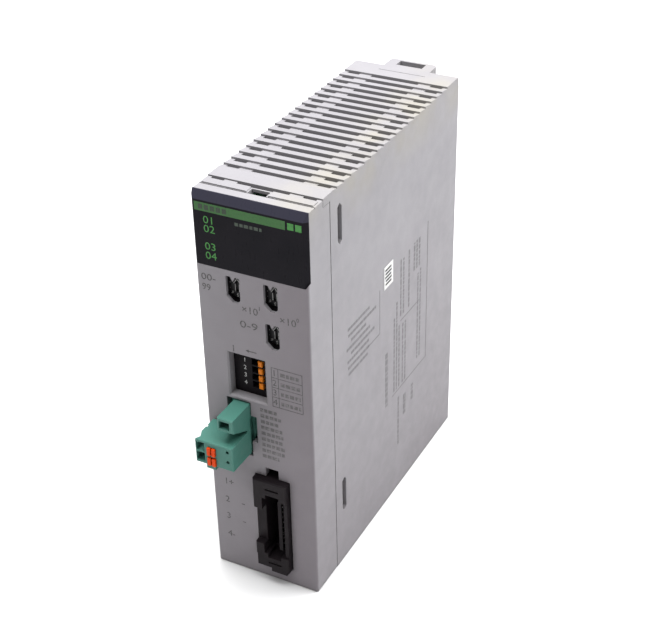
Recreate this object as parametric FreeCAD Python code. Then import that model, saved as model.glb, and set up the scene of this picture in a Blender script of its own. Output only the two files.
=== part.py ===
"""One-slot network module of a backplane-mounted programmable controller.

Millimetres. +Z is up, the front face looks towards -Y and +X is to the right seen from the front.
The origin is the centre of the base face. Depths are measured rearwards from the front face.
"""
import FreeCAD, Part
import math
import os
from FreeCAD import Vector

os.makedirs("parts", exist_ok=True)

# ---- overall size ----
WIDTH = 35.0
HEIGHT = 130.0
DEPTH = 101.0
HALF = WIDTH / 2
FRONT_Y = -DEPTH / 2
WALL = 2.0
INNER = HALF - WALL

# ---- joint between front cover and case ----
SEAM = 12.9                 # depth of the seam on the sides
SEAM_GAP = 0.35
COVER_WALL = 2.0
COVER_TOP = 129.65
ROOF_FRONT = 9.2            # the case's roof reaches forward to this depth
ROOF_UNDERSIDE = 127.6

# ---- snap arms of the cover, and the slots in the case's sides that they catch in ----
LATCH_SPANS = [(112.0, 124.6), (19.0, 31.6)]
LATCH_D = (17.2, 19.7)
ARM_X = (14.2, 15.4)        # of the right-hand arms
ARM_END = 20.6

# ---- vented roof ----
SLOT_PITCH = 4.115
FIRST_SLOT = 16.6
SLOT_ROWS = 19
SLOT_WIDTH = 1.4
TOOTH_DROP = 0.6
SLOT_SPANS = [(-16.0, -12.0), (-8.0, 8.0), (12.0, 16.0)]

# ---- indicator window ----
WINDOW_LOW = 107.4
WINDOW_BEVEL_LOW = 127.1
WINDOW_BEVEL_DEPTH = 1.1
WINDOW_THICK = 1.3
WINDOW_CHAMFERS = [(-1, 0.5), (1, 1.15)]    # left and right edge
LED_X = -12.9
LED_HEIGHTS = [122.0, 119.0, 113.7, 110.5]
GUIDE_X = (-15.2, -9.4)
GUIDE_Z = (108.7, 123.4)

# ---- rotary switches: name, centre x, centre z ----
ROTARY = [("tens", -6.05, 101.4), ("ones", 5.7, 101.55), ("mode", 5.75, 89.15)]
ROTARY_OPENING = (4.3, 8.2)
ROTARY_BODY = 10.0
ROTARY_PANEL = 1.0          # thickness of the cover in front of a switch
ROTARY_FRONT = 1.05
ROTARY_CHAMBER = (2.1, 4.2)
DIAL_RADIUS = 3.75
DIAL_FACE = 2.35
DIAL_BACK = 4.1
SHAFT_RADIUS = 1.2

# ---- DIP switch ----
DIP_OPENING_X = (-9.1, 2.65)
DIP_OPENING_Z = (65.9, 80.35)
DIP_BODY_X = (-9.3, 2.85)
DIP_LENGTH = 15.0
DIP_CENTRE_Z = 73.15
DIP_PITCH = 2.54
DIP_FACE = 3.1
KNOB_X = (-1.1, 0.3)
KNOB_HEIGHT = 1.9
KNOB_FRONT = 2.6
KNOB_TRAVEL = 2.1
SLIDER_FOOT = 0.7           # the hidden foot reaches this far past both sides of the knob

# ---- boards ----
BOARD = 1.6
FRONT_BOARD = 9.0           # depth of its front face
MAIN_BOARD_X = -7.2         # its left face
BOARD_FACE = MAIN_BOARD_X + BOARD
MAIN_BOARD_D = (14.0, 96.0)

# ---- power plug and its socket ----
PLUG_OPENING_X = (-10.5, -2.7)
PLUG_OPENING_Z = (45.6, 64.8)
PLUG_NOTCH_X = (-3.2, -0.9)
PLUG_NOTCH_Z = (51.0, 60.2)
HEADER_ROOM_X = (-9.6, -3.6)
HEADER_ROOM_Z = (46.6, 58.6)
CONTACT_X = -6.8
CONTACT_HEIGHTS = [53.2, 49.7]
WIRE_X = -13.6
WIRE_ENTRY = (2.75, 3.1)
TEST_HOLE_X = -4.55
LEVER_X = -9.85
LEVER_DROP = 0.75           # the levers sit this far below the wire entries
LEVER_SIZE = (2.6, 2.6)
PLUG_BODY_X = (-15.4, -2.9)
PLUG_BODY_Z = (47.3, 55.5)
PLUG_FRONT = -11.0
PLUG_REAR = -0.4
FLANGE_X = (-8.2, -3.0)
FLANGE_Z = (59.75, 64.25)
FLANGE_FRONT = -9.7
PLUG_SCREW_X = -5.85
PLUG_SCREW_Z = 62.0
PLUG_SCREW_RADIUS = 0.95

# ---- network socket ----
NET_X = (-2.3, 8.9)
NET_Z = (6.0, 39.4)
NET_FRONT = -2.4
NET_CAVITY_X = (0.65, 7.7)
NET_CAVITY_Z = (11.5, 33.0)
NET_CAVITY_END = 7.4
TONGUE_X = (5.0, 6.2)
TONGUE_FRONT = -0.6

# ---- plug and socket between the two boards ----
LINK_D = (10.6, 15.8, 21.0)
LINK_Z = (62.0, 84.0)
LINK_X = (BOARD_FACE, BOARD_FACE + 5.0)

# ---- rear ----
HOOK_HALF = 7.9
HOOK_END = 106.0
HOOK_THICK = 3.6
HOOK_SLOT_HALF = 4.4
HOOK_SLOT_D = (101.5, 104.9)
BACKPLANE_X = (-5.6, 4.4)
BACKPLANE_Z = (44.0, 96.0)
MOUNT_SCREW_Z = 5.0
MOUNT_SCREW_RADIUS = 2.0
MOUNT_SCREW_NECK = 1.6
MOUNT_THREAD_D = (101.3, 107.0)

# ---- screws inside ----
FRONT_POSTS = [(-12.4, 88.0), (12.4, 110.0), (12.4, 50.0), (-12.4, 40.0)]
MAIN_POSTS = [(25.0, 16.0), (25.0, 116.0), (88.0, 28.0), (88.0, 116.0)]


# ---------------------------------------------------------------- shapes

def block(x, d, z):
    """A box over the spans x, d (depth behind the front face) and z."""
    corner = Vector(x[0], FRONT_Y + d[0], z[0])
    return Part.makeBox(x[1] - x[0], d[1] - d[0], z[1] - z[0], corner)


def rod(x, z, radius, d):
    """A cylinder along Y, from depth d[0] to d[1]."""
    return Part.makeCylinder(radius, d[1] - d[0], Vector(x, FRONT_Y + d[0], z), Vector(0, 1, 0))


def cross_rod(d, z, radius, x):
    """A cylinder along X, from x[0] to x[1]."""
    return Part.makeCylinder(radius, x[1] - x[0], Vector(x[0], FRONT_Y + d, z), Vector(1, 0, 0))


def prism(points, sweep):
    """A closed outline of points, swept by a vector."""
    face = Part.Face(Part.makePolygon(points + [points[0]]))
    return face.extrude(sweep)


def front_plate(outline, d):
    """An outline of (x, z) points, from depth d[0] to d[1]."""
    points = [Vector(x, FRONT_Y + d[0], z) for x, z in outline]
    return prism(points, Vector(0, d[1] - d[0], 0))


def side_plate(outline, x):
    """An outline of (depth, z) points, from x[0] to x[1]."""
    points = [Vector(x[0], FRONT_Y + depth, z) for depth, z in outline]
    return prism(points, Vector(x[1] - x[0], 0, 0))


def level_plate(outline, z):
    """An outline of (x, depth) points, from z[0] to z[1]."""
    points = [Vector(x, FRONT_Y + depth, z[0]) for x, depth in outline]
    return prism(points, Vector(0, 0, z[1] - z[0]))


def flared_hole(x, z, flare):
    """A frustum that chamfers the mouth of a rectangular hole in the front face."""
    wires = []
    for grow, depth in ((flare, 0.0), (0.0, flare)):
        corners = [(x[0] - grow, z[0] - grow), (x[1] + grow, z[0] - grow),
                   (x[1] + grow, z[1] + grow), (x[0] - grow, z[1] + grow)]
        points = [Vector(cx, FRONT_Y + depth, cz) for cx, cz in corners]
        wires.append(Part.makePolygon(points + [points[0]]))
    return Part.makeLoft(wires, True)


def ring(inset, thick, d, z):
    """A rectangular frame, inset from the outer faces of the module."""
    outer = block((-HALF + inset, HALF - inset), d, (z[0] + inset, z[1] - inset))
    inset += thick
    inner = block((-HALF + inset, HALF - inset), (d[0] - 1, d[1] + 1), (z[0] + inset, z[1] - inset))
    return outer.cut(inner)


def joined(shapes):
    return shapes[0].fuse(shapes[1:]).removeSplitter()


def edges_where(shape, keep):
    return [edge for edge in shape.Edges if keep(edge.BoundBox)]


def is_upright(box):
    return box.ZLength > 1.0 and box.XLength < 1e-6 and box.YLength < 1e-6


def grown(span, gap):
    return (span[0] - gap, span[1] + gap)


def about(centre, size):
    return (centre - size / 2, centre + size / 2)


def on_side(span, side):
    """A span of x for the right-hand side (side 1), or its mirror image for the left (side -1)."""
    return tuple(sorted((side * span[0], side * span[1])))


def save(name, shape):
    shape.exportStep("parts/" + name + ".step")
    print(name, len(shape.Solids), "solid(s)", round(shape.Volume, 1), "mm3", shape.isValid())


# ---------------------------------------------------------------- case

def slot_depths():
    """Centre depth of each row of vent slots."""
    return [FIRST_SLOT + SLOT_PITCH * row for row in range(SLOT_ROWS)]


def case_outline():
    """Side profile of the case: a plain front band, sawtooth ribs, a plain rear band."""
    low = HEIGHT - TOOTH_DROP
    outline = [(SEAM + SEAM_GAP / 2, 0.0), (SEAM + SEAM_GAP / 2, ROOF_UNDERSIDE)]
    outline += [(ROOF_FRONT, ROOF_UNDERSIDE), (ROOF_FRONT, HEIGHT), (FIRST_SLOT - 1.5, HEIGHT)]
    for centre in slot_depths():
        riser = centre + SLOT_WIDTH / 2
        outline += [(riser, low), (riser, HEIGHT)]
    outline += [(DEPTH - 1.3, HEIGHT), (DEPTH, HEIGHT - 6.0), (DEPTH, 0.0)]
    return outline


def hook_tab():
    """Tab at the top of the rear face, with a slot and a lip that drops behind the backplane."""
    underside = HEIGHT - HOOK_THICK
    tab = block((-HOOK_HALF, HOOK_HALF), (96.0, HOOK_END), (underside, HEIGHT))
    corners = edges_where(tab, lambda b: is_upright(b) and b.YMin > FRONT_Y + HOOK_END - 0.1)
    tab = tab.makeFillet(1.6, corners)
    lip = block((-5.5, 5.5), (HOOK_SLOT_D[1], HOOK_END), (underside - 2.4, underside + 0.2))
    slot = block((-HOOK_SLOT_HALF, HOOK_SLOT_HALF), HOOK_SLOT_D, (underside - 5, HEIGHT + 1))
    return joined([tab, lip]).cut(slot)


def latch_window(x, low, high):
    """Slot in the case's side wall that a snap arm of the cover catches in."""
    front, rear = LATCH_D
    outline = [(front, low + 1.2), (front + 1.2, low), (rear, low + 0.9)]
    outline += [(rear, high - 1.2), (rear - 1.2, high), (front, high - 0.9)]
    return side_plate(outline, x)


def screw_pocket_outline(grow):
    """Side profile of the pocket under the case that a screwdriver reaches the screw through."""
    return [(72.0 - 2 * grow, -1.0), (84.0 - grow, 10.0 + grow), (97.4, 10.0 + grow), (97.4, -1.0)]


def rear_case():
    shell = side_plate(case_outline(), (-HALF, HALF))
    upright = edges_where(shell, lambda b: is_upright(b) and b.YMin > -FRONT_Y - 0.1)
    shell = shell.makeFillet(0.8, upright)
    hollow = block((-INNER, INNER), (SEAM - 5, DEPTH - 2.4), (WALL, ROOF_UNDERSIDE))
    shell = shell.cut(hollow)
    pocket_wall = side_plate(screw_pocket_outline(1.6), (-7.1, 7.1))
    pocket_wall = pocket_wall.common(block((-10, 10), (60, DEPTH), (0.5, 20)))
    additions = [pocket_wall, hook_tab(), block((-7.1, 7.1), (97.3, DEPTH), (0.0, 12.0))]
    additions.append(ring(1.0, 2.05, (SEAM + SEAM_GAP / 2, SEAM + 2.6), (0.0, ROOF_UNDERSIDE + 2.0)))
    additions.append(ring(2.05, 1.0, (10.5, SEAM + 2.6), (0.0, ROOF_UNDERSIDE + 2.0)))
    for depth, z in MAIN_POSTS:
        additions.append(cross_rod(depth, z, 2.8, (-INNER - 0.2, MAIN_BOARD_X)))
    shell = joined([shell] + additions)
    cuts = [side_plate(screw_pocket_outline(0.0), (-5.5, 5.5))]
    cuts.append(rod(0.0, MOUNT_SCREW_Z, MOUNT_SCREW_RADIUS + 0.3, (96, DEPTH + 1)))
    cuts.append(block(grown(BACKPLANE_X, 0.3), (DEPTH - 5, DEPTH + 1), grown(BACKPLANE_Z, 0.3)))
    for depth, z in MAIN_POSTS:
        cuts.append(cross_rod(depth, z, 1.05, (-INNER + 1.0, MAIN_BOARD_X + 1)))
    for centre in slot_depths():
        for span in SLOT_SPANS:
            cuts.append(block(span, about(centre, SLOT_WIDTH), (ROOF_UNDERSIDE - 0.6, HEIGHT + 1)))
    for centre in slot_depths()[1:-6:2]:
        cuts.append(block((-8.0, 8.0), about(centre, SLOT_WIDTH), (-1, WALL + 1)))
    cuts.append(block((-HOOK_HALF, HOOK_HALF), (95.85, 96.1), (HEIGHT - 0.15, HEIGHT + 1)))
    for low, high in LATCH_SPANS:
        for side in (-1, 1):
            cuts.append(latch_window(on_side((INNER - 0.4, HALF + 1), side), low, high))
            arm_room = on_side((ARM_X[0] - 0.3, ARM_X[1] + 0.08), side)
            cuts.append(block(arm_room, (10.0, SEAM + 3), grown((low, high), 0.4)))
    return shell.cut(cuts)


# ---------------------------------------------------------------- cover

def rotary_outline(x, z):
    """Opening over a dial: a pointed tooth at the top shows the setting, the lower corners are cut off."""
    left, right = about(x, ROTARY_OPENING[0])
    low, high = about(z, ROTARY_OPENING[1])
    outline = [(left, low + 1.9), (left + 1.9, low), (right - 1.1, low), (right, low + 1.1)]
    outline += [(right, high - 0.3), (right - 0.3, high), (x + 0.75, high), (x, high - 1.4)]
    outline += [(x - 0.75, high), (left + 0.3, high), (left, high - 0.3)]
    return outline


def window_outline(gap=0.0):
    """Front outline of the indicator window, with its lower right corner cut off."""
    low = WINDOW_LOW - gap
    return [(-HALF - gap, low), (HALF - 0.9, low), (HALF + gap, low + 1.5), (HALF + gap, HEIGHT + gap),
            (-HALF - gap, HEIGHT + gap)]


def snap_arm(side, low, high):
    """Arm that reaches into the case and hooks in its latch window."""
    span = (low + 0.9, high - 0.9)
    arm = block(on_side(ARM_X, side), (5.0, ARM_END), span)
    root = block(on_side((ARM_X[0], INNER + 0.2), side), (5.0, 10.0), span)
    base = side * (ARM_X[1] - 0.2)
    tip = side * (ARM_X[1] + 1.1)
    catch = LATCH_D[0] + 0.2
    hook = [(base, catch), (tip, catch), (tip, catch + 0.7), (base, LATCH_D[1] - 0.2)]
    return [arm, root, level_plate(hook, (low + 1.5, high - 1.5))]


def front_cover():
    rear = SEAM - SEAM_GAP / 2
    shell = block((-HALF, HALF), (0, rear), (0, COVER_TOP))
    shell = shell.makeFillet(0.7, edges_where(shell, lambda b: is_upright(b) and b.YMax < FRONT_Y + 0.1))
    foot = edges_where(shell, lambda b: b.ZMax < 0.1 and b.XLength > 10 and b.YMax < FRONT_Y + 1)
    shell = shell.makeFillet(0.5, foot)
    step = WINDOW_LOW - 1.4
    hollow = block((-INNER, INNER), (COVER_WALL, rear + 1), (WALL, step + 0.1))
    hollow_top = block((-INNER, INNER), (COVER_WALL + 1, rear + 1), (step, ROOF_UNDERSIDE - 0.1))
    shell = shell.cut([hollow, hollow_top])

    additions = [block(grown(DIP_OPENING_X, 0.9), (1.8, 3.0), grown(DIP_OPENING_Z, 0.9))]
    for x, z in FRONT_POSTS:
        additions.append(rod(x, z, 2.2, (1.8, FRONT_BOARD)))
    for x in ((-16.9, -3.0), (3.5, 16.9)):
        lip = block(x, (4.9, 7.6), (COVER_TOP - 0.5, COVER_TOP + 0.35))
        rounded = edges_where(lip, lambda b: b.XLength < 1e-6 and b.YLength > 1 and b.ZMin > COVER_TOP)
        additions.append(lip.makeFillet(0.3, rounded))
    for low, high in LATCH_SPANS:
        for side in (-1, 1):
            additions += snap_arm(side, low, high)
    shell = joined([shell] + additions)

    cuts = [front_plate(window_outline(0.06), (-1, WINDOW_THICK + 0.05))]
    cuts.append(block(grown(GUIDE_X, 0.2), (0, 4), grown(GUIDE_Z, 0.2)))
    cuts.append(block((-HALF - 1, HALF + 1), (ROOF_FRONT - 0.2, 14), (ROOF_UNDERSIDE - 0.15, HEIGHT + 1)))
    cuts.append(block((-HALF - 1, HALF + 1), (4.4, 4.75), (COVER_TOP - 0.5, COVER_TOP + 1)))
    cuts.append(block((-2.6, 3.0), (4.75, 7.3), (ROOF_UNDERSIDE - 1, HEIGHT)))
    cuts.append(block((-2.6, 3.0), (4.75, ROOF_FRONT), (ROOF_UNDERSIDE - 1, COVER_TOP - 0.9)))
    for span in SLOT_SPANS:
        cuts.append(block(span, (7.8, ROOF_FRONT), (ROOF_UNDERSIDE - 1, HEIGHT)))
    for name, x, z in ROTARY:
        cuts.append(front_plate(rotary_outline(x, z), (-1, 4)))
        cuts.append(block(about(x, ROTARY_BODY + 0.4), (ROTARY_PANEL, 4), about(z, ROTARY_BODY + 0.4)))
    cuts.append(block(DIP_OPENING_X, (-1, 4), DIP_OPENING_Z))
    cuts.append(flared_hole(DIP_OPENING_X, DIP_OPENING_Z, 0.45))
    cuts.append(block(PLUG_OPENING_X, (-1, 4), PLUG_OPENING_Z))
    cuts.append(block(PLUG_NOTCH_X, (-1, 4), PLUG_NOTCH_Z))
    cuts.append(block(grown(NET_X, 0.25), (-1, 4), grown(NET_Z, 0.25)))
    cuts.append(block((1.2, 5.5), (-1, 4), (NET_Z[1], NET_Z[1] + 3.4)))
    for x, z in FRONT_POSTS:
        cuts.append(rod(x, z, 0.85, (3.0, FRONT_BOARD + 1)))
    return shell.cut(cuts)


def indicator_window():
    profile = [(0.0, WINDOW_LOW), (0.0, WINDOW_BEVEL_LOW), (WINDOW_BEVEL_DEPTH, COVER_TOP + 0.1),
               (WINDOW_THICK, COVER_TOP + 0.1), (WINDOW_THICK, WINDOW_LOW)]
    plate = side_plate(profile, (-HALF, HALF))
    plate = plate.common(front_plate(window_outline(), (-1, 3)))
    for side, chamfer in WINDOW_CHAMFERS:
        start = side * (HALF - chamfer)
        edge = side * HALF
        beyond = side * (HALF + 1)
        corner = [(start, -0.01), (beyond, -0.01), (beyond, chamfer + 1), (edge, chamfer)]
        plate = plate.cut(level_plate(corner, (WINDOW_LOW - 1, HEIGHT + 1)))
    return plate


def light_guide():
    plate = block(GUIDE_X, (WINDOW_THICK + 0.1, 3.3), GUIDE_Z)
    flange = block((GUIDE_X[0] - 0.1, GUIDE_X[1] + 1.0), (3.1, 3.8), grown(GUIDE_Z, 0.9))
    pipes = [rod(LED_X, z, 0.95, (3.6, 7.9)) for z in LED_HEIGHTS]
    return joined([plate, flange] + pipes)


def indicator_leds():
    chips = [block(about(LED_X, 1.6), (8.2, FRONT_BOARD), about(z, 1.0)) for z in LED_HEIGHTS]
    return Part.makeCompound(chips)


# ---------------------------------------------------------------- switches

def rotary_body(x, z):
    """Switch housing: a window in its front wall, a chamber for the dial and a bearing for its shaft."""
    body = block(about(x, ROTARY_BODY), (ROTARY_FRONT, FRONT_BOARD), about(z, ROTARY_BODY))
    along = edges_where(body, lambda b: b.YLength > 1 and b.XLength < 1e-6 and b.ZLength < 1e-6)
    body = body.makeFillet(0.5, along)
    window = front_plate(rotary_outline(x, z), (0.0, ROTARY_CHAMBER[0] + 0.1))
    chamber = rod(x, z, DIAL_RADIUS + 0.2, ROTARY_CHAMBER)
    bearing = rod(x, z, SHAFT_RADIUS + 0.06, (ROTARY_CHAMBER[1] - 0.1, 7.8))
    return body.cut([window, chamber, bearing])


def rotary_dial(x, z):
    """Dial with a screwdriver slot that ends in an arrow head; its shaft turns in the switch body."""
    disc = rod(x, z, DIAL_RADIUS, (DIAL_FACE, DIAL_BACK))
    rim = edges_where(disc, lambda b: b.XLength > 5 and b.YMax < FRONT_Y + DIAL_FACE + 0.1)
    disc = disc.makeChamfer(0.3, rim)
    dial = joined([disc, rod(x, z, SHAFT_RADIUS, (DIAL_BACK - 0.2, 7.6))])
    depths = (DIAL_FACE - 1, DIAL_FACE + 0.7)
    slot = block(about(x, 0.9), depths, (z - 1.9, z + 1.0))
    arrow = front_plate([(x - 1.0, z + 0.8), (x + 1.0, z + 0.8), (x, z + 2.2)], depths)
    return dial.cut([slot, arrow])


def dip_heights():
    return [DIP_CENTRE_Z + DIP_PITCH * (1.5 - index) for index in range(4)]


def dip_body():
    """Switch housing with a slot for each knob over a wider channel for its foot."""
    body = block(DIP_BODY_X, (DIP_FACE, FRONT_BOARD), about(DIP_CENTRE_Z, DIP_LENGTH))
    reach = SLIDER_FOOT + 0.3
    slot = (KNOB_X[0] - KNOB_TRAVEL - 0.15, KNOB_X[1] + 0.45)
    channel = (KNOB_X[0] - KNOB_TRAVEL - reach, KNOB_X[1] + reach)
    cuts = []
    for z in dip_heights():
        span = about(z, KNOB_HEIGHT + 0.2)
        cuts.append(block(slot, (DIP_FACE - 1, 4.1), span))
        cuts.append(block(channel, (4.0, 5.4), span))
    return body.cut(cuts)


def dip_slider(z):
    """Sliding knob on a longer foot that stays under the face of the switch."""
    knob = block(KNOB_X, (KNOB_FRONT, 4.5), about(z, KNOB_HEIGHT))
    front = edges_where(knob, lambda b: b.YMax < FRONT_Y + KNOB_FRONT + 0.1)
    foot = block(grown(KNOB_X, SLIDER_FOOT), (4.15, 5.3), about(z, KNOB_HEIGHT))
    return joined([knob.makeChamfer(0.2, front), foot])


# ---------------------------------------------------------------- power plug

def power_header():
    """Socket on the front board; its lower half holds the pins, its upper end the screw insert."""
    outer = block(grown(PLUG_OPENING_X, -0.15), (2.1, FRONT_BOARD), grown(PLUG_OPENING_Z, -0.2))
    ear = block((PLUG_NOTCH_X[0], PLUG_NOTCH_X[1] - 0.15), (2.6, 6.0), grown(PLUG_NOTCH_Z, -0.15))
    pad_room = (FLANGE_X[0] - 0.2, PLUG_OPENING_X[1])
    cuts = [block(HEADER_ROOM_X, (0, 7.4), HEADER_ROOM_Z)]
    cuts.append(block(pad_room, (0, 3.2), (HEADER_ROOM_Z[1] + 0.4, PLUG_OPENING_Z[1])))
    cuts.append(rod(PLUG_SCREW_X, PLUG_SCREW_Z, PLUG_SCREW_RADIUS + 0.06, (0, 8.6)))
    for z in CONTACT_HEIGHTS:
        cuts.append(block(about(CONTACT_X, 1.0), (6, 10), about(z, 1.0)))
    return joined([outer, ear]).cut(cuts)


def power_header_pins():
    pins = []
    for z in CONTACT_HEIGHTS:
        pins.append(block(about(CONTACT_X, 1.0), (1.6, FRONT_BOARD + BOARD + 1.6), about(z, 1.0)))
    return Part.makeCompound(pins)


def clamp_parts(z, gap):
    """Wire cage, cross bar and contact tube of one pole; gap grows them into the room they need."""
    cage = block(grown(about(WIRE_X, 2.3), gap), (-7.2 - gap, -1.2), grown(about(z, 2.3), gap))
    reach = (WIRE_X - 1.0, CONTACT_X + 0.9)
    bar = block(grown(reach, gap), (-1.8 - gap, -1.2 + gap), grown(about(z, 2.0), gap))
    tube = block(grown(about(CONTACT_X, 1.9), gap), (-1.5, 6.4 + gap), grown(about(z, 1.9), gap))
    return joined([cage, bar, tube])


def plug_clamps():
    clamps = []
    for z in CONTACT_HEIGHTS:
        clamp = clamp_parts(z, 0.0)
        wire_room = block(about(WIRE_X, 1.7), (-8, -1.9), about(z, 1.7))
        pin_room = block(about(CONTACT_X, 1.3), (-1.1, 8), about(z, 1.3))
        clamps.append(clamp.cut([wire_room, pin_room]))
    return Part.makeCompound(clamps)


def lever_span(z, gap=0.0):
    centre = z - LEVER_DROP
    return grown(about(LEVER_X, LEVER_SIZE[0]), gap), grown(about(centre, LEVER_SIZE[1]), gap)


def plug_grip_notch():
    """Bite out of the plug's left edge, near its front."""
    left = PLUG_BODY_X[0]
    outline = [(left - 1, PLUG_FRONT - 0.1), (left, PLUG_FRONT - 0.1), (left + 1.0, PLUG_FRONT + 1.6),
               (left, PLUG_FRONT + 4.0), (left - 1, PLUG_FRONT + 4.0)]
    return level_plate(outline, (PLUG_BODY_Z[1] - 1.9, PLUG_BODY_Z[1] + 1))


def plug_neck_outline():
    """Side profile of the neck that slopes from under the flange down to the rear of the plug."""
    top = FLANGE_Z[0] + 0.2
    rear = PLUG_REAR - 1.6
    foot = PLUG_BODY_Z[1] - 0.5
    return [(FLANGE_FRONT + 0.3, top), (FLANGE_FRONT + 0.3, FLANGE_Z[0]), (rear, foot + 1.2), (rear, foot),
            (PLUG_REAR, foot), (PLUG_REAR, top)]


def power_plug_body():
    body = block(PLUG_BODY_X, (PLUG_FRONT, PLUG_REAR), PLUG_BODY_Z)
    body = body.makeChamfer(0.25, edges_where(body, lambda b: b.YMax < FRONT_Y + PLUG_FRONT + 0.1))
    foot = block((-11.95, -8.9), (PLUG_FRONT + 0.2, -3.0), (46.0, PLUG_BODY_Z[0] + 0.2))
    insert = block(grown(HEADER_ROOM_X, -0.2), (PLUG_REAR - 1, 6.9), grown(HEADER_ROOM_Z, -0.3))
    neck = side_plate(plug_neck_outline(), FLANGE_X)
    flange = block(FLANGE_X, (FLANGE_FRONT, PLUG_REAR), FLANGE_Z)
    flange = flange.makeChamfer(0.3, edges_where(flange, lambda b: b.YMax < FRONT_Y + FLANGE_FRONT + 0.1))
    pad = block(FLANGE_X, (PLUG_REAR - 1, 2.9), (HEADER_ROOM_Z[1] + 0.7, FLANGE_Z[1]))
    body = joined([body, foot, insert, neck, flange, pad])
    cuts = [plug_grip_notch()]
    cuts.append(block((PLUG_BODY_X[0] - 1, PLUG_BODY_X[0] + 0.4), (-4.7, -3.5), grown(PLUG_BODY_Z, 1)))
    cuts.append(block(about(PLUG_SCREW_X, 3.4), (FLANGE_FRONT - 1, -8.0), about(PLUG_SCREW_Z, 2.6)))
    cuts.append(rod(PLUG_SCREW_X, PLUG_SCREW_Z, 1.9, (-8.6, -4.3)))
    cuts.append(rod(PLUG_SCREW_X, PLUG_SCREW_Z, PLUG_SCREW_RADIUS + 0.1, (-5, 4)))
    for z in CONTACT_HEIGHTS:
        cuts.append(clamp_parts(z, 0.08))
        cuts.append(block(about(WIRE_X, WIRE_ENTRY[0]), (PLUG_FRONT - 1, -7.0), about(z, WIRE_ENTRY[1])))
        cuts.append(block(about(CONTACT_X, 1.4), (6, 8), about(z, 1.4)))
        cuts.append(rod(TEST_HOLE_X, z + 0.6, 0.55, (PLUG_FRONT - 1, -7.5)))
        x, heights = lever_span(z, 0.12)
        cuts.append(block(x, (PLUG_FRONT - 1, -3.2), heights))
    return body.cut(cuts)


def plug_lever(z):
    """Push-in release lever: two bars with a groove for a screwdriver tip between them."""
    x, heights = lever_span(z)
    lever = block(x, (PLUG_FRONT - 0.6, -4.8), heights)
    groove = block(about(LEVER_X, 0.5), (PLUG_FRONT - 2, PLUG_FRONT + 0.8), grown(heights, 1))
    return lever.cut(groove)


def plug_screw():
    head = rod(PLUG_SCREW_X, PLUG_SCREW_Z, 1.6, (-6.6, -4.6))
    head = head.makeChamfer(0.2, edges_where(head, lambda b: b.YMax < FRONT_Y - 6.5))
    shank = rod(PLUG_SCREW_X, PLUG_SCREW_Z, PLUG_SCREW_RADIUS, (-4.8, 8.0))
    slot = block(about(PLUG_SCREW_X, 4), (-7, -5.9), about(PLUG_SCREW_Z, 0.5))
    return joined([head, shank]).cut(slot)


# ---------------------------------------------------------------- network socket

def network_socket():
    housing = block(NET_X, (NET_FRONT, FRONT_BOARD), NET_Z)
    outer = edges_where(housing, lambda b: b.YMax < FRONT_Y + NET_FRONT + 0.1)
    housing = housing.makeChamfer(0.35, outer)
    tab = block((2.9, 8.2), (NET_FRONT, -0.1), (NET_Z[0] - 1.0, NET_Z[0] + 0.5))
    housing = joined([housing, tab])
    cavity = block(NET_CAVITY_X, (NET_FRONT - 1, NET_CAVITY_END), NET_CAVITY_Z)
    cuts = [cavity]
    cuts.append(block((NET_X[0] - 1, NET_CAVITY_X[0] + 0.1), (NET_FRONT - 1, 0.0), (15.0, 28.6)))
    cuts.append(block((NET_X[0] - 1, NET_X[0] + 0.5), (NET_FRONT - 1, -0.1), (5.0, 10.6)))
    cuts.append(block((NET_CAVITY_X[1] - 0.1, NET_X[1] + 1), (NET_FRONT - 1, -1.8), (11.5, 33.0)))
    groove_x = (1.9, 6.4)
    cuts.append(block(groove_x, (NET_FRONT - 1, -0.9), (36.2, 36.8)))
    cuts.append(block(groove_x, (NET_FRONT - 1, -0.9), (7.8, 8.4)))
    cuts.append(block(groove_x, (NET_FRONT - 1, 3.0), (NET_CAVITY_Z[1] - 0.1, NET_CAVITY_Z[1] + 1.4)))
    cuts.append(block(groove_x, (NET_FRONT - 1, 3.0), (NET_CAVITY_Z[0] - 1.4, NET_CAVITY_Z[0] + 0.1)))
    housing = housing.cut(cuts)
    tongue = block(TONGUE_X, (TONGUE_FRONT, NET_CAVITY_END + 0.5), (13.0, 31.5))
    rib_x = (NET_CAVITY_X[1] - 0.6, NET_CAVITY_X[1] + 0.2)
    ribs = [block(rib_x, (-0.5, NET_CAVITY_END + 0.5), about(z, 1.0)) for z in (17.0, 27.5)]
    grooves = []
    for z in contact_heights():
        for x in contact_columns(0.05):
            grooves.append(block(x, (TONGUE_FRONT + 0.5, FRONT_BOARD + 1), about(z, 0.9)))
    return joined([housing, tongue] + ribs).cut(grooves)


def contact_heights():
    return [15.5 + 2.0 * index for index in range(8)]


def contact_columns(gap=0.0):
    """Spans of x of the two rows of contacts; gap grows them into the grooves they lie in."""
    left, right = TONGUE_X
    return [grown((left - 0.05, left + 0.25), gap), grown((right - 0.25, right + 0.05), gap)]


def network_contacts():
    """Two rows of flat contacts, one along each side of the tongue, with tails through the board."""
    contacts = []
    for z in contact_heights():
        for x in contact_columns():
            contacts.append(block(x, (TONGUE_FRONT + 0.7, FRONT_BOARD + BOARD + 1.4), about(z, 0.6)))
    return Part.makeCompound(contacts)


# ---------------------------------------------------------------- boards and what they carry

def front_board():
    board = block((-13.8, 13.8), (FRONT_BOARD, FRONT_BOARD + BOARD), (3.6, 124.4))
    cuts = [rod(x, z, 1.1, (8, 12)) for x, z in FRONT_POSTS]
    for z in CONTACT_HEIGHTS:
        cuts.append(rod(CONTACT_X, z, 0.8, (8, 12)))
    for z in contact_heights():
        cuts.append(block(grown(TONGUE_X, 0.3), (8, 12), about(z, 0.8)))
    return board.cut(cuts)


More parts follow.
